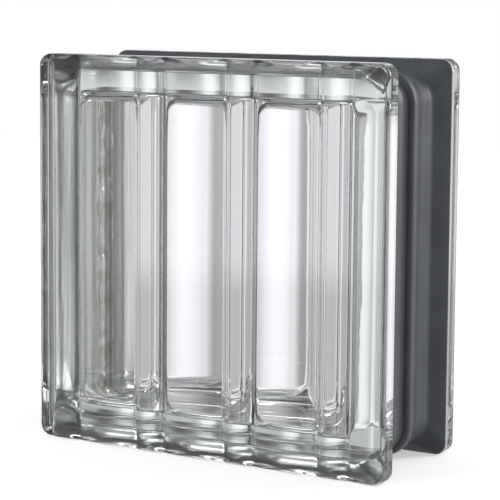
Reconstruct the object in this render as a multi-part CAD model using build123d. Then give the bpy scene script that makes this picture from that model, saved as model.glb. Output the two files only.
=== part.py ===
from build123d import *
import math
import os

# A fluted glass block: two pressed glass halves fused at mid-depth into one hollow piece,
# with a grey lacquer coat in the groove round its four flanks. Millimetres, +Z up,
# origin at the middle of the edge face it stands on, glazed faces towards -Y and +Y.

# overall size, over the ribs
block_width = 190.0
block_height = 190.0
block_depth = 80.0

# rim round each face
rim_thickness = 10.6
rim_corner_radius = 6.0
face_edge_radius = 3.4
rim_back_radius = 0.8

# groove that takes the mortar, with the bead where the two halves were fused
groove_depth = 7.7
groove_corner_radius = 12.0
groove_slope_run = 7.0
cove_radius = 5.0
bead_height = 2.9
bead_width = 6.6
bead_round = 2.4

# hollow inside
wall_thickness = 9.8
plate_thickness = 10.5
hollow_corner_radius = 8.0
hollow_edge_radius = 5.0
hollow_draft = 2.0

# face relief: narrow round ribs with wide crowned panels between them, which run on from
# block to block over the mortar joint
rib_count = 4
mortar_joint = 8.0
first_rib_share = 0.293
rib_half_width = 8.0
rib_crown = 4.1
rib_over_panel = 0.35

# inner side of each plate: a rod behind every rib, and a window sunk behind every panel
rod_width = 12.0
rod_height = 1.7
window_step = 2.1
window_step_run = 1.2
window_crown = 2.7
window_end_gap = 1.5
window_corner = 7.0

# lacquer coat in the groove
coat_thickness = 0.4
coat_edge_gap = 0.2

half_depth = block_depth / 2
valley_y = half_depth - rib_crown
panel_y = half_depth - rib_over_panel
rim_back_y = panel_y - rim_thickness
rib_pitch = (block_width + mortar_joint) / rib_count
rib_places = [(i + first_rib_share) * rib_pitch - block_width / 2 for i in range(rib_count)]
hollow_inset = groove_depth + wall_thickness
hollow_height = block_height - 2 * hollow_inset
hollow_y = half_depth - plate_thickness


def outline(inset, corner, y):
    """The block's front outline, inset evenly, as a flat face at one depth."""
    plane = Plane(origin=(0, y, block_height / 2), x_dir=(1, 0, 0), z_dir=(0, -1, 0))
    return plane * RectangleRounded(block_width - 2 * inset, block_height - 2 * inset, corner)


def slab(inset, corner, y_near, y_far):
    """That outline as a slab from one depth to another."""
    return extrude(outline(inset, corner, y_far), y_far - y_near)


def edges_at(part, y):
    """The edges that lie flat at one depth."""
    return part.edges().filter_by_position(Axis.Y, y - 0.01, y + 0.01)


def mirrored(part):
    """A part and its twin on the other side of the seam."""
    return part + mirror(part, about=Plane.XZ)


def relief_line():
    """Plan of the front face: ribs and crowned panels, a little past both sides."""
    first = rib_places[0] - rib_half_width
    line = panel_arc(first - rib_pitch + 2 * rib_half_width, first)
    for place in rib_places:
        start = place - rib_half_width
        end = place + rib_half_width
        line += ThreePointArc((start, -valley_y), (place, -half_depth), (end, -valley_y))
        line += panel_arc(end, end + rib_pitch - 2 * rib_half_width)
    return line


def panel_arc(start, end):
    """One crowned panel between two valleys."""
    return ThreePointArc((start, -valley_y), ((start + end) / 2, -panel_y), (end, -valley_y))


def relief():
    """Everything behind the front relief, as one prism over the block's height."""
    line = relief_line()
    start = line @ 0
    end = line @ 1
    line += Polyline(end, (end.X, 0), (start.X, 0), start)
    return extrude(make_face(line), block_height)


def front_plate():
    """The front face with its rim, rounded at the outer edge."""
    plate = slab(0, rim_corner_radius, -half_depth, -rim_back_y)
    plate = fillet(edges_at(plate, -half_depth), face_edge_radius)
    plate = fillet(edges_at(plate, -rim_back_y), rim_back_radius)
    return plate & relief()


def groove_core(grow):
    """What is left inside the groove: slopes, floor and seam bead, grown by a coat."""
    slope_height = groove_depth - rim_back_radius
    lean = math.atan2(slope_height, groove_slope_run)
    grow_at_rim = grow / math.cos(lean)
    floor_y = rim_back_y - (slope_height + grow_at_rim - grow) / math.tan(lean)
    floor_inset = groove_depth - grow
    floor_corner = groove_corner_radius + grow
    rim_corner = rim_corner_radius - rim_back_radius + grow_at_rim
    core = slab(floor_inset, floor_corner, -floor_y, floor_y)
    for side in (-1, 1):
        floor_end = outline(floor_inset, floor_corner, side * floor_y)
        rim_end = outline(rim_back_radius - grow_at_rim, rim_corner, side * rim_back_y)
        core += loft([floor_end, rim_end], ruled=True)
        core = fillet(edges_at(core, side * floor_y), cove_radius - grow)
    return core + seam_bead(grow)


def seam_bead(grow):
    """The rounded bead at mid-depth."""
    half_width = bead_width / 2 + grow
    inset = groove_depth - bead_height - grow
    bead = slab(inset, groove_corner_radius + bead_height + grow, -half_width, half_width)
    rims = edges_at(bead, -half_width) + edges_at(bead, half_width)
    return fillet(rims, bead_round + grow)


def hollow():
    """The sealed air space, widest at the seam, between the rods and windows of both plates."""
    widen = hollow_y * math.tan(math.radians(hollow_draft))
    middle = outline(hollow_inset - widen, hollow_corner_radius, 0)
    space = extrude(middle, hollow_y, taper=hollow_draft)
    space = fillet(edges_at(space, -hollow_y), hollow_edge_radius)
    for i in range(1, rib_count):
        space -= rod(rib_places[i])
        space += window(rib_places[i] - rib_pitch / 2)
    return mirrored(space)


def rod(place):
    """The rounded back of one rib, over the block's height."""
    left = place - rod_width / 2
    right = place + rod_width / 2
    line = ThreePointArc((left, -hollow_y), (place, rod_height - hollow_y), (right, -hollow_y))
    line += Polyline((right, -hollow_y), (right, -half_depth), (left, -half_depth), (left, -hollow_y))
    return extrude(make_face(line), block_height)


def window(place):
    """The space behind one panel: stepped and crowned in plan, round-cornered from the front."""
    half_width = (rib_pitch - rod_width) / 2
    floor_half = half_width - window_step_run
    floor_y = hollow_y + window_step
    root_y = hollow_y - hollow_edge_radius
    left = place - half_width
    right = place + half_width
    floor_left = (place - floor_half, -floor_y)
    floor_right = (place + floor_half, -floor_y)
    line = ThreePointArc(floor_left, (place, -floor_y - window_crown), floor_right)
    line += Polyline(floor_right, (right, -hollow_y), (right, -root_y), (left, -root_y))
    line += Polyline((left, -root_y), (left, -hollow_y), floor_left)
    prism = extrude(make_face(line), block_height)
    plane = Plane(origin=(place, 0, block_height / 2), x_dir=(1, 0, 0), z_dir=(0, -1, 0))
    height = hollow_height - 2 * window_end_gap
    return prism & extrude(plane * RectangleRounded(2 * half_width, height, window_corner), half_depth)


def glass_body():
    """The whole hollow block as one fused piece."""
    solid = groove_core(0) + mirrored(front_plate())
    return solid - hollow()


def flank_coating():
    """The lacquer skin that follows the groove, short of the rims."""
    reach = rim_back_y - coat_edge_gap
    return (groove_core(coat_thickness) & slab(-1, rim_corner_radius, -reach, reach)) - groove_core(0)


os.makedirs("parts", exist_ok=True)
export_step(glass_body(), "parts/glass_body.step")
export_step(flank_coating(), "parts/flank_coating.step")
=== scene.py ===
import math

import bpy
from mathutils import Matrix, Vector


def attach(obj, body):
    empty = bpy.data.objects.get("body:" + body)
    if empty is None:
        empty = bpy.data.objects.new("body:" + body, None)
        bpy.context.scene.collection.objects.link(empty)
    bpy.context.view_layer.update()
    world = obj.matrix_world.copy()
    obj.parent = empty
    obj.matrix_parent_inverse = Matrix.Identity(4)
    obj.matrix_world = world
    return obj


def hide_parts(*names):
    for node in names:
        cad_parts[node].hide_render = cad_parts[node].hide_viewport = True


# A fluted glass block on a pale floor: clear pressed glass with a grey lacquer coat in its
# mortar groove. Metres, +Z up, glazed faces towards -Y and +Y. The shapes of the glass and
# the coat are worked out in millimetres.

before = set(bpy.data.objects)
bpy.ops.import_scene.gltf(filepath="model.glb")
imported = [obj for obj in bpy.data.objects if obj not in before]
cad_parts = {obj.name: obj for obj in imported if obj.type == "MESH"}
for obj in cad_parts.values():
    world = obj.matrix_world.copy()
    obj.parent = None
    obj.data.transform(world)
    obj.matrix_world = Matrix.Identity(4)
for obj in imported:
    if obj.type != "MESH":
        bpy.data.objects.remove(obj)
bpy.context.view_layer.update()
mm = 0.001
bpy.context.scene.view_settings.view_transform = "Standard"


class Socket:
    # one output socket, so that shader maths reads as plain sums
    def __init__(self, finish, socket):
        self.finish = finish
        self.socket = socket

    def __add__(self, other):
        return self.finish.maths("ADD", self, other)

    def __sub__(self, other):
        return self.finish.maths("SUBTRACT", self, other)

    def __rsub__(self, other):
        return self.finish.maths("SUBTRACT", other, self)

    def __mul__(self, other):
        return self.finish.maths("MULTIPLY", self, other)

    def __truediv__(self, other):
        return self.finish.maths("DIVIDE", self, other)

    def __rtruediv__(self, other):
        return self.finish.maths("DIVIDE", other, self)

    __radd__ = __add__
    __rmul__ = __mul__

    def smooth(self, low, high):
        # 0 at low, 1 at high, eased between
        return self.finish.node("ShaderNodeMapRange", {"interpolation_type": "SMOOTHSTEP"},
                                {"Value": self, "From Min": low, "From Max": high})[0]


class Outputs:
    # a node's outputs, by number or name
    def __init__(self, finish, made):
        self.finish = finish
        self.made = made

    def __getitem__(self, key):
        return Socket(self.finish, self.made.outputs[key])


class Finish:
    # a material or world with its node tree cleared, and one way to add a node
    def __init__(self, owner):
        owner.use_nodes = True
        self.owner = owner
        self.tree = owner.node_tree
        self.tree.nodes.clear()

    def node(self, kind, settings=None, values=None):
        made = self.tree.nodes.new(kind)
        for name, value in (settings or {}).items():
            if name == "stops":
                self.setStops(made.color_ramp, value)
            else:
                setattr(made, name, value)
        for key, value in (values or {}).items():
            if isinstance(value, Socket):
                self.tree.links.new(value.socket, made.inputs[key])
            elif value is not None:
                made.inputs[key].default_value = value
        return Outputs(self, made)

    def setStops(self, ramp, stops):
        while len(ramp.elements) < len(stops):
            ramp.elements.new(0.5)
        for element, (place, colour) in zip(ramp.elements, stops):
            element.position = place
            element.color = colour

    def maths(self, operation, first, second=None):
        return self.node("ShaderNodeMath", {"operation": operation}, {0: first, 1: second})[0]

    def blend(self, factor, first, second):
        # from one colour to another, which are the Mix node's sockets 6 and 7
        return self.node("ShaderNodeMix", {"data_type": "RGBA"}, {"Factor": factor, 6: first, 7: second})[2]

    def noise(self, spot, scale, detail):
        return self.node("ShaderNodeTexNoise", {}, {"Vector": spot, "Scale": scale, "Detail": detail})["Fac"]


camera = {
    "place": (0.4523, -0.7784, 0.2230),
    "turn": 30.02,              # degrees, from looking along +Y
    "down": 6.2,
    "roll": 0.44,
    "lens": 134.7,              # millimetres
    "sensor": 36.0,
    "shiftDown": 0.12,
}


def makeCamera():
    data = bpy.data.cameras.new("camera")
    data.sensor_width = camera["sensor"]
    data.lens = camera["lens"]
    data.shift_y = -camera["shiftDown"]
    made = bpy.data.objects.new("camera", data)
    bpy.context.collection.objects.link(made)
    turn = Matrix.Rotation(math.radians(camera["turn"]), 4, "Z")
    tilt = Matrix.Rotation(math.radians(90 - camera["down"]), 4, "X")
    roll = Matrix.Rotation(math.radians(camera["roll"]), 4, "Z")
    made.matrix_world = Matrix.Translation(camera["place"]) @ turn @ tilt @ roll
    bpy.context.scene.camera = made
    print("camera ready")


studio = {
    "white": (1.0, 1.0, 1.0, 1.0),
    "fill": (0.46, 0.47, 0.49, 1.0),        # light that falls on matt surfaces
    # What glass sees. Each card: degrees left of +Y, brightness of the wall, of the table below.
    "cards": ((-180, 0.40, 0.30), (-150, 0.10, 0.08), (-125, 0.48, 0.36), (-99, 0.42, 0.32),
              (-80, 1.00, 0.80), (-60, 1.35, 1.10), (-44, 1.15, 1.00), (-40, 1.20, 1.00),
              (-36, 1.10, 0.95), (-33, 0.75, 0.65), (-31, 0.45, 0.40), (-28, 0.42, 0.38),
              (-25, 0.78, 0.70), (-23, 1.05, 1.00), (-19.5, 1.05, 1.00), (-17.5, 0.42, 0.36),
              (-13.5, 0.36, 0.30), (-10.5, 0.74, 0.55), (22, 0.79, 0.55), (24.5, 0.87, 0.70),
              (26, 1.00, 0.90), (30, 1.20, 1.12), (33, 1.15, 1.08), (35, 1.03, 0.92),
              (36.3, 0.93, 0.80), (37.1, 1.15, 1.00), (38.4, 0.44, 0.38), (47, 0.56, 0.48),
              (62, 0.80, 0.62), (89, 0.55, 0.42), (140, 0.75, 0.50), (180, 0.40, 0.30)),
    # the same wall above the level of the block's top
    "upperCards": ((-180, 0.35), (-150, 0.15), (-99, 0.45), (-60, 0.85), (-40, 0.90), (-30, 0.45),
                   (-22, 0.90), (-10, 0.65), (5, 0.55), (9, 0.16), (14, 0.14), (19, 0.30),
                   (23, 0.55), (27, 0.95), (32, 1.00), (36, 0.50), (39, 0.22), (43, 0.40),
                   (55, 0.65), (75, 0.40), (92, 0.30), (140, 0.60), (180, 0.35)),
    "fullScale": 1.4,                       # a little over the brightest card
    "tint": (0.968, 0.962, 1.0),            # of every card, faintly lilac
    "ceiling": (0.20, 0.225, 0.20, 1.0),
    "tableEdge": (-9.6, -8.0),              # degrees of height, where the table turns into the wall
    "upperEdge": (-3.4, -2.2),
    "ceilingEdge": (38.0, 62.0),
}


def cardRamp(finish, around, cards, column):
    stops = []
    for card in cards:
        tone = [part * card[column] / studio["fullScale"] for part in studio["tint"]]
        stops.append((card[0] / 360 + 0.5, (*tone, 1.0)))
    return finish.node("ShaderNodeValToRGB", {"stops": stops}, {0: around})[0]


def glassRays(finish, path):
    # 1 for what is seen in glass or in a gloss, which shows the studio and not the floor
    return finish.maths("MAXIMUM", path["Is Transmission Ray"], path["Is Glossy Ray"])


def makeStudio():
    finish = Finish(bpy.context.scene.world or bpy.data.worlds.new("studio"))
    bpy.context.scene.world = finish.owner
    path = finish.node("ShaderNodeLightPath")
    look = finish.node("ShaderNodeSeparateXYZ", {}, {0: finish.node("ShaderNodeTexCoord")["Generated"]})
    around = finish.maths("ARCTAN2", 0 - look[0], look[1]) / math.radians(360) + 0.5
    height = finish.maths("ARCSINE", look[2]) / math.radians(1)
    wall = cardRamp(finish, around, studio["cards"], 1)
    table = cardRamp(finish, around, studio["cards"], 2)
    upper = cardRamp(finish, around, studio["upperCards"], 1)
    cards = finish.blend(height.smooth(*studio["tableEdge"]), table, wall)
    cards = finish.blend(height.smooth(*studio["upperEdge"]), cards, upper)
    cards = finish.blend(height.smooth(*studio["ceilingEdge"]), cards, studio["ceiling"])
    clear = finish.node("ShaderNodeBackground", {}, {"Color": cards, "Strength": studio["fullScale"]})
    light = finish.node("ShaderNodeBackground", {}, {"Color": studio["fill"], "Strength": 1.0})
    seen = finish.node("ShaderNodeBackground", {}, {"Color": studio["white"], "Strength": 1.0})
    mixed = finish.node("ShaderNodeMixShader", {}, {0: glassRays(finish, path), 1: light[0], 2: clear[0]})
    mixed = finish.node("ShaderNodeMixShader", {}, {0: path["Is Camera Ray"], 1: mixed[0], 2: seen[0]})
    finish.node("ShaderNodeOutputWorld", {}, {"Surface": mixed[0]})
    print("studio ready")


floor = {
    "colour": (0.9, 0.9, 0.9, 1.0),
    "glow": 0.46,               # for the camera alone, to bring the floor up to white
    "half": 1.5,
}


def makeFloor():
    half = floor["half"]
    corners = [(-half, -half, 0), (half, -half, 0), (half, half, 0), (-half, half, 0)]
    mesh = bpy.data.meshes.new("floor")
    mesh.from_pydata(corners, [], [(0, 1, 2, 3)])
    made = bpy.data.objects.new("floor", mesh)
    bpy.context.collection.objects.link(made)
    finish = Finish(bpy.data.materials.new("paleFloor"))
    path = finish.node("ShaderNodeLightPath")
    matt = finish.node("ShaderNodeBsdfDiffuse", {}, {"Color": floor["colour"]})
    glow = finish.node("ShaderNodeEmission", {}, {"Color": studio["white"], "Strength": floor["glow"]})
    bright = finish.node("ShaderNodeAddShader", {}, {0: matt[0], 1: glow[0]})
    shown = finish.node("ShaderNodeMixShader", {}, {0: path["Is Camera Ray"], 1: matt[0], 2: bright[0]})
    gone = finish.node("ShaderNodeBsdfTransparent")
    shown = finish.node("ShaderNodeMixShader", {}, {0: glassRays(finish, path), 1: shown[0], 2: gone[0]})
    finish.node("ShaderNodeOutputMaterial", {}, {"Surface": shown[0]})
    mesh.materials.append(finish.owner)
    print("floor ready")


lamps = {
    "aim": (0.0, 0.0, 0.1),
    "keyLamp": {"place": (-1.2, -1.4, 1.6), "size": (1.2, 1.2), "power": 19.0},     # watts
    "sideLamp": {"place": (1.5, 1.35, 0.9), "size": (0.7, 1.4), "power": 27.0},
}


def makeLamp(name):
    data = bpy.data.lights.new(name, "AREA")
    data.shape = "RECTANGLE"
    data.size, data.size_y = lamps[name]["size"]
    data.energy = lamps[name]["power"]
    made = bpy.data.objects.new(name, data)
    bpy.context.collection.objects.link(made)
    made.location = lamps[name]["place"]
    towards = Vector(lamps["aim"]) - Vector(lamps[name]["place"])
    made.rotation_euler = towards.to_track_quat("-Z", "Y").to_euler()
    print(name, "ready")


def addMesh(name, points, faces):
    # a smooth mesh from points in millimetres
    mesh = bpy.data.meshes.new(name)
    mesh.from_pydata([tuple(v * mm for v in point) for point in points], [], faces)
    for face in mesh.polygons:
        face.use_smooth = True
    made = bpy.data.objects.new(name, mesh)
    bpy.context.collection.objects.link(made)
    return made


# Both skins of the glass: the outside with its ribs, and the sealed hollow.
glass = {
    # millimetres
    "half": 95.0,               # of the width and height, over the rims
    "depth": 40.0,              # to the crests of the ribs
    "corner": 6.0,
    "edge": 3.4,                # rounding round each face
    "edgeRise": 0.8,            # slope by which that rounding leaves the face alone further in
    "edgeBlend": 1.2,
    "ribs": (-80.5, -31.0, 18.5, 68.0),
    "ribHalf": 8.0,
    "crown": 4.1,
    "ribOverPanel": 0.35,
    "valleyBlend": 1.1,
    "rimFrontY": 35.4,          # where the flank of each rim starts
    "plateY": 29.5,
    "hollowInset": 17.33,       # where the hollow's walls round over into the plates
    "hollowCorner": 8.0,
    "hollowEdge": 5.0,
    "hollowBlend": 0.6,
    "hollowDraft": 2.0,         # degrees
    "rodHalf": 6.0,
    "rodHeight": 1.7,
    "windowDepth": 2.1,
    "windowCrown": 2.7,
    "windowInset": 19.0,        # of both ends of each window
    "windowCorner": 9.0,
    "windowFillet": 3.0,
    "windowBlend": 0.9,
    # fineness: insets of the rings over each edge, depths of the rings down the hollow's walls
    "faceRings": (0.0, 0.08, 0.25, 0.5, 0.8, 1.2, 1.7, 2.3, 2.9, 3.6, 4.4, 5.2),
    "hollowRings": (0.0, 0.1, 0.3, 0.6, 0.9, 1.2, 1.5, 1.8, 2.1, 2.5, 2.9, 3.4, 4.0, 4.6, 5.2,
                    6.0, 7.0),
    "wallRings": (23.8, 22.0, 18.0, 12.0, 6.0, 2.0, 0.6),
    "rimSteps": 3,
    "cornerSteps": 9,
    # steps of each grid: fine ones, coarse ones, and how far the fine ones reach from each end
    "faceColumns": (0.9, 0.9, 0.0),
    "faceRows": (3.0, 24.0, 6.0),
    "hollowColumns": (0.75, 0.75, 0.0),
    "hollowRows": (0.8, 12.0, 7.0),
    # finish
    "colour": (1.0, 1.0, 1.0, 1.0),
    "ior": 1.52,
    "absorb": (0.72, 0.86, 0.76, 1.0),      # pale green where light runs far through it
    "density": 3.0,             # per metre
    "ripples": 60.0,            # per metre
    "rippleDetail": 2.0,
    "rippleRoughness": 0.4,
    "rippleDepth": 0.002,       # metres
    "waviness": 0.02,
}


def lower(a, b, blend):
    # the lower of two heights, rounded off where they cross
    near = max(blend - abs(a - b), 0) / blend
    return min(a, b) - near * near * blend / 4


def higher(a, b, blend):
    return -lower(-a, -b, blend)


def bulge(offset, half, height):
    # height of a round crown above its two ends, and below them beyond its ends
    radius = (half * half + height * height) / (2 * height)
    if abs(offset) >= radius:
        return height - radius
    return math.sqrt(radius * radius - offset * offset) - radius + height


def fromRib(x):
    # signed distance to the nearest rib of the endless pattern, and the pattern's pitch
    ribs = glass["ribs"]
    pitch = ribs[1] - ribs[0]
    return (x - ribs[0] + pitch / 2) % pitch - pitch / 2, pitch


def roundEdge(d, top, radius):
    # height of a rounded edge at the distance d in from the outline
    if d >= radius:
        return top + glass["edgeRise"] * (d - radius)
    return top - radius + math.sqrt(radius * radius - (radius - d) ** 2)


def faceHeight(x, z, d):
    # ribs and crowned panels, the same at every z, run out over the rounded edge
    offset, pitch = fromRib(x)
    valley = glass["depth"] - glass["crown"]
    rib = bulge(offset, glass["ribHalf"], glass["crown"])
    panelHalf = pitch / 2 - glass["ribHalf"]
    panel = bulge(offset % pitch - pitch / 2, panelHalf, glass["crown"] - glass["ribOverPanel"])
    relief = valley + higher(rib, panel, glass["valleyBlend"])
    return lower(relief, roundEdge(d, glass["depth"], glass["edge"]), glass["edgeBlend"])


def hollowHeight(x, z, d):
    # rods behind the ribs, and a window sunk behind each of the three full panels
    offset, pitch = fromRib(x)
    plate = glass["plateY"]
    if x > glass["ribs"][0] + glass["rodHalf"] and abs(offset) < glass["rodHalf"]:
        plate -= glass["rodHeight"] * (1 - (offset / glass["rodHalf"]) ** 2)
    base = lower(plate, roundEdge(d, glass["plateY"], glass["hollowEdge"]), glass["hollowBlend"])
    if x < glass["ribs"][0] or x > glass["ribs"][-1]:
        return base
    side = offset % pitch - pitch / 2
    halfX = pitch / 2 - glass["rodHalf"]
    halfZ = glass["half"] - glass["windowInset"]
    corner = glass["windowCorner"]
    overX = abs(side) - halfX + corner
    overZ = abs(z - glass["half"]) - halfZ + corner
    inside = corner - math.hypot(max(overX, 0), max(overZ, 0)) - min(max(overX, overZ), 0)
    if inside <= 0:
        return base
    floorY = glass["plateY"] + glass["windowDepth"] + bulge(side, halfX, glass["windowCrown"])
    rootY = glass["plateY"] - glass["hollowEdge"]
    part = min(inside / glass["windowFillet"], 1)
    window = rootY + (floorY - rootY) * math.sqrt(1 - (1 - part) ** 2)
    return higher(base, window, glass["windowBlend"])


def outlineRing(inset, corner, columns, rows, steps):
    # (x, z) points round the block at one inset: the sides at given shares, the corners in steps
    reach = glass["half"] - inset - corner
    far = glass["half"] - inset
    sides = ([(share * reach, -far) for share in columns], [(far, share * reach) for share in rows],
             [(-share * reach, far) for share in columns], [(-far, -share * reach) for share in rows])
    centres = ((reach, -reach), (reach, reach), (-reach, reach), (-reach, -reach))
    points = []
    for quarter, (side, centre) in enumerate(zip(sides, centres)):
        points += side
        for i in range(1, steps):
            turn = math.pi / 2 * (quarter - 1 + i / steps)
            points.append((centre[0] + corner * math.cos(turn), centre[1] + corner * math.sin(turn)))
    return [(x, z + glass["half"]) for x, z in points]


def spread(half, fine, coarse, ends):
    # shares from -1 to 1, in fine steps near both ends and coarse ones between
    places = [0.0]
    while places[-1] < half:
        places.append(min(places[-1] + (fine if places[-1] > half - ends else coarse), half))
    return [-place / half for place in reversed(places[1:])] + [place / half for place in places]


def shell(inset, corner, insets, flank, height, columns, rows):
    # closed skin: a grid in front, rings over the edge, the flank's rings, and the same behind
    steps = glass["cornerSteps"]
    vertices = []
    faces = []

    def addGrid(sign):
        start = len(vertices)
        reach = glass["half"] - inset - corner
        for column in columns:
            for row in rows:
                x, z = column * reach, row * reach + glass["half"]
                vertices.append((x, sign * height(x, z, corner), z))
        spot = [[start + i * len(rows) + j for j in range(len(rows))] for i in range(len(columns))]
        for near, far in zip(spot, spot[1:]):
            for j in range(len(rows) - 1):
                face = (near[j], far[j], far[j + 1], near[j + 1])
                faces.append(face if sign < 0 else face[::-1])
        # the grid's own border, with each corner point repeated to meet the rings' corner steps
        border = []
        first = [line[0] for line in spot]
        last = [line[-1] for line in reversed(spot)]
        for side in (first, spot[-1], last, spot[0][::-1]):
            border += side + [side[-1]] * (steps - 1)
        return border

    def addRing(points):
        start = len(vertices)
        vertices.extend(points)
        return list(range(start, len(vertices)))

    def addEdgeRing(sign, d):
        points = outlineRing(inset + d, corner - d, columns, rows, steps)
        return addRing([(x, sign * height(x, z, d), z) for x, z in points])

    loops = [addGrid(-1)]
    loops += [addEdgeRing(-1, d) for d in reversed(insets)]
    for y, deep, bend in flank:
        loops.append(addRing([(x, -y, z) for x, z in outlineRing(deep, bend, columns, rows, steps)]))
    loops += [addEdgeRing(1, d) for d in insets]
    loops.append(addGrid(1))
    for near, far in zip(loops, loops[1:]):
        for k in range(len(near)):
            n = (k + 1) % len(near)
            face = tuple(dict.fromkeys((near[n], near[k], far[k], far[n])))
            if len(face) > 2:
                faces.append(face)
    return vertices, faces


def outerFlank():
    # (depth, inset, corner radius) from the front rim to the rear rim, as the groove runs
    back = coat["rimBackY"]
    bend = coat["rimBackRadius"]
    half = [(glass["rimFrontY"], 0.0, glass["corner"]), (back + bend, 0.0, glass["corner"])]
    for i in range(1, glass["rimSteps"] + 1):
        turn = math.pi / 2 * i / glass["rimSteps"]
        inset = bend * (1 - math.cos(turn))
        half.append((back + bend * (1 - math.sin(turn)), inset, glass["corner"] - inset))
    return half + coatProfile(0.0) + [(-y, inset, corner) for y, inset, corner in reversed(half)]


def innerFlank():
    # the same for the hollow's walls, which are widest apart at the seam
    lean = math.tan(math.radians(glass["hollowDraft"]))
    edge = glass["plateY"] - glass["hollowEdge"]
    half = [(y, glass["hollowInset"] - (edge - y) * lean, glass["hollowCorner"]) for y in glass["wallRings"]]
    seam = [(0.0, glass["hollowInset"] - edge * lean, glass["hollowCorner"])]
    return half + seam + [(-y, inset, corner) for y, inset, corner in reversed(half)]


def glassFinish():
    finish = Finish(bpy.data.materials.new("clearGlass"))
    spot = finish.node("ShaderNodeTexCoord")["Object"]
    ripple = finish.node("ShaderNodeTexNoise", {}, {
        "Vector": spot, "Scale": glass["ripples"], "Detail": glass["rippleDetail"],
        "Roughness": glass["rippleRoughness"]})["Fac"]
    bump = finish.node("ShaderNodeBump", {}, {
        "Height": ripple, "Strength": glass["waviness"], "Distance": glass["rippleDepth"]})
    body = finish.node("ShaderNodeBsdfPrincipled", {}, {
        "Base Color": glass["colour"], "Roughness": 0.0, "IOR": glass["ior"],
        "Transmission Weight": 1.0, "Normal": bump[0]})
    inside = finish.node("ShaderNodeVolumeAbsorption", {}, {
        "Color": glass["absorb"], "Density": glass["density"]})
    finish.node("ShaderNodeOutputMaterial", {}, {"Surface": body[0], "Volume": inside[0]})
    return finish.owner


def makeGlass():
    half = glass["half"] - glass["corner"]
    points, faces = shell(0.0, glass["corner"], glass["faceRings"], outerFlank(), faceHeight,
                          spread(half, *glass["faceColumns"]), spread(half, *glass["faceRows"]))
    half = glass["half"] - glass["hollowInset"] - glass["hollowCorner"]
    inner, innerFaces = shell(glass["hollowInset"], glass["hollowCorner"], glass["hollowRings"],
                              innerFlank(), hollowHeight,
                              spread(half, *glass["hollowColumns"]), spread(half, *glass["hollowRows"]))
    faces += [tuple(v + len(points) for v in reversed(face)) for face in innerFaces]
    made = addMesh("pressedGlass", points + inner, faces)
    made.data.materials.append(glassFinish())
    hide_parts("glass_body")
    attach(made, "root")
    print("glass ready,", len(faces), "faces")


# The coat, and with it the groove that it lies in.
coat = {
    # millimetres
    "grooveDepth": 7.7,
    "cornerRadius": 12.0,
    "slopeRun": 7.0,
    "cove": 5.0,
    "beadHeight": 2.9,
    "beadWidth": 6.6,
    "beadRound": 2.4,
    "rimBackY": 29.05,
    "rimBackRadius": 0.8,
    "rimCorner": 6.0,
    "edgeGap": 0.2,
    "edgeLift": 0.1,            # of the coat's thin edge over the rim's rounding
    "thickness": 0.4,
    "sunk": 0.12,               # how far the hidden side lies in the glass
    "arcSteps": 8,
    "cornerSteps": 14,
    # finish from here on, in metres
    "greyDark": (0.062, 0.068, 0.078, 1.0),
    "greyLight": (0.080, 0.087, 0.098, 1.0),
    "clouds": (35.0, 4.0),      # of each pattern: how many per metre, and its detail
    "cloudEdge": (0.3, 0.7),
    "grains": (1400.0, 2.0),
    "roughness": 0.36,
    "cloudRoughness": 0.12,
    "cloudRelief": 4.0,         # times the depth of the relief
    "grainRelief": 0.4,
    "reliefStrength": 0.2,
    "reliefDepth": 0.0003,
    # its back, as seen through the glass
    "backDark": (0.64, 0.67, 0.64, 1.0),
    "backLight": (0.92, 0.93, 0.92, 1.0),
    "backRoughness": 0.13,
    "backMetal": 0.72,
    "streakScale": (14.0, 1100.0, 14.0),    # per metre: fine lines that run along the groove
    "streaks": (1.0, 3.0),
    "streakEdge": (0.35, 0.65),
    "streakDepth": 0.00004,
    "seamEdge": (0.0046, 0.00276),          # distances from the seam where it is even, and uneven
    "seamTone": (0.56, 0.54, 0.48, 1.0),
    "blots": (130.0, 1.0),
    "blotEdge": (0.62, 0.38),
    "blotDepth": 0.0008,
}


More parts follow.
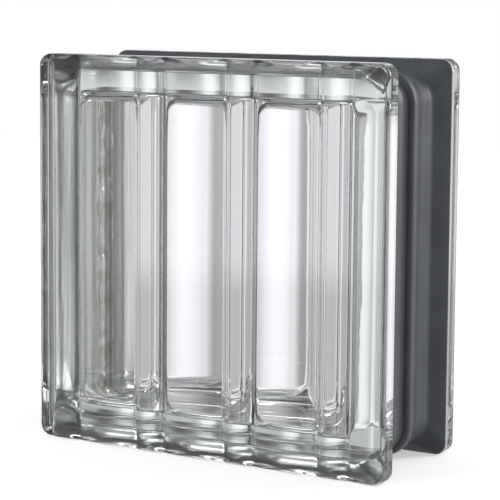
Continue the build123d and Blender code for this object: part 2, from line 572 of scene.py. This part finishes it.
def coatProfile(grow):
    # (depth, inset, corner radius) from one rim to the other, which are alike
    slopeHeight = coat["grooveDepth"] - coat["rimBackRadius"]
    lean = math.atan2(slopeHeight, coat["slopeRun"])
    growAtRim = grow / math.cos(lean)
    floorInset = coat["grooveDepth"] - grow
    floorY = coat["rimBackY"] - (slopeHeight + growAtRim - grow) / math.tan(lean)
    floorCorner = coat["cornerRadius"] + grow
    rimInset = coat["rimBackRadius"] - growAtRim
    rimCorner = coat["rimCorner"] - coat["rimBackRadius"] + growAtRim
    cornerPerInset = (floorCorner - rimCorner) / (floorInset - rimInset)

    def onSlope(y):
        inset = floorInset + (rimInset - floorInset) * (y - floorY) / (coat["rimBackY"] - floorY)
        return y, inset, floorCorner + (inset - floorInset) * cornerPerInset

    # the slope, then the cove at its foot
    radius = coat["cove"] - grow
    setback = radius * math.tan(lean / 2)
    slopeEnd = floorY + setback * math.cos(lean)
    reach = coat["rimBackY"] - coat["edgeGap"]
    half = [onSlope(reach), onSlope((reach + slopeEnd) / 2)]
    for i in range(coat["arcSteps"] + 1):
        turn = lean * (1 - i / coat["arcSteps"])
        inset = floorInset - radius * (1 - math.cos(turn))
        half.append((floorY - setback + radius * math.sin(turn), inset,
                     floorCorner + (inset - floorInset) * cornerPerInset))

    # the groove's floor, then the seam bead up to its crest
    foot = coat["beadWidth"] / 2 + grow
    crest = floorInset - coat["beadHeight"]
    bend = coat["beadRound"] + grow
    half.append(((floorY + foot) / 2, floorInset, floorCorner))
    half.append((foot, floorInset, floorCorner))
    half.append((foot, crest + bend, floorCorner + floorInset - crest - bend))
    for i in range(1, coat["arcSteps"] + 1):
        turn = math.pi / 2 * i / coat["arcSteps"]
        inset = crest + bend * (1 - math.sin(turn))
        half.append((foot - bend * (1 - math.cos(turn)), inset, floorCorner + floorInset - inset))
    return half + [(-y, inset, corner) for y, inset, corner in reversed(half)]


def coatRings(grow, lift):
    # the profile as rings of points, run out over half of the rounding behind each rim
    bend = coat["rimBackRadius"] * (1 - math.sqrt(0.5))
    edgeY = coat["rimBackY"] + bend
    edge = (bend - lift, coat["rimCorner"] - bend + lift)
    ends = (-1, 1)
    rings = []
    for y, inset, corner in [(edgeY, *edge)] + coatProfile(grow) + [(-edgeY, *edge)]:
        rings.append([(x, y, z) for x, z in outlineRing(inset, corner, ends, ends, coat["cornerSteps"])])
    return rings


def lacquerFinish():
    finish = Finish(bpy.data.materials.new("greyLacquer"))
    spot = finish.node("ShaderNodeTexCoord")["Object"]
    cloud = finish.noise(spot, *coat["clouds"])
    grain = finish.noise(spot, *coat["grains"])
    tone = finish.blend(cloud.smooth(*coat["cloudEdge"]), coat["greyDark"], coat["greyLight"])
    bump = finish.node("ShaderNodeBump", {}, {
        "Height": cloud * coat["cloudRelief"] + grain * coat["grainRelief"],
        "Strength": coat["reliefStrength"], "Distance": coat["reliefDepth"]})
    paint = finish.node("ShaderNodeBsdfPrincipled", {}, {
        "Base Color": tone, "Roughness": coat["roughness"] + cloud * coat["cloudRoughness"],
        "Normal": bump[0]})
    finish.node("ShaderNodeOutputMaterial", {}, {"Surface": paint[0]})
    return finish.owner


def backFinish():
    # silvery where the lacquer grips the glass, with fine streaks and an uneven seam
    finish = Finish(bpy.data.materials.new("lacquerBack"))
    spot = finish.node("ShaderNodeTexCoord")["Object"]
    drawn = finish.node("ShaderNodeVectorMath", {"operation": "MULTIPLY"},
                        {0: spot, 1: coat["streakScale"]})[0]
    streak = finish.noise(drawn, *coat["streaks"])
    tone = finish.blend(streak.smooth(*coat["streakEdge"]), coat["backDark"], coat["backLight"])
    across = finish.maths("ABSOLUTE", finish.node("ShaderNodeSeparateXYZ", {}, {0: spot})[1])
    seam = across.smooth(*coat["seamEdge"])
    blot = finish.noise(spot, *coat["blots"])
    tone = finish.blend(seam * blot.smooth(*coat["blotEdge"]), tone, coat["seamTone"])
    height = streak * coat["streakDepth"] + seam * blot * coat["blotDepth"]
    bump = finish.node("ShaderNodeBump", {}, {"Height": height, "Strength": 1.0, "Distance": 1.0})
    paint = finish.node("ShaderNodeBsdfPrincipled", {}, {
        "Base Color": tone, "Roughness": coat["backRoughness"], "Metallic": coat["backMetal"],
        "Normal": bump[0]})
    finish.node("ShaderNodeOutputMaterial", {}, {"Surface": paint[0]})
    return finish.owner


def makeCoat():
    outer = coatRings(coat["thickness"], coat["edgeLift"])
    inner = coatRings(-coat["sunk"], -coat["sunk"])
    rings = outer + inner[::-1]
    around = len(rings[0])
    faces = []
    for i in range(len(rings)):
        n = (i + 1) % len(rings)
        for j in range(around):
            k = (j + 1) % around
            faces.append((i * around + j, i * around + k, n * around + k, n * around + j))
    made = addMesh("flankCoat", [point for loop in rings for point in loop], faces)
    made.data.materials.append(lacquerFinish())
    made.data.materials.append(backFinish())
    for face in made.data.polygons[len(outer) * around:(len(rings) - 1) * around]:
        face.material_index = 1
    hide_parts("flank_coating")
    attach(made, "root")
    print("coat ready,", len(faces), "faces")


makeCamera()
makeStudio()
makeFloor()
makeLamp("keyLamp")
makeLamp("sideLamp")
makeGlass()
makeCoat()
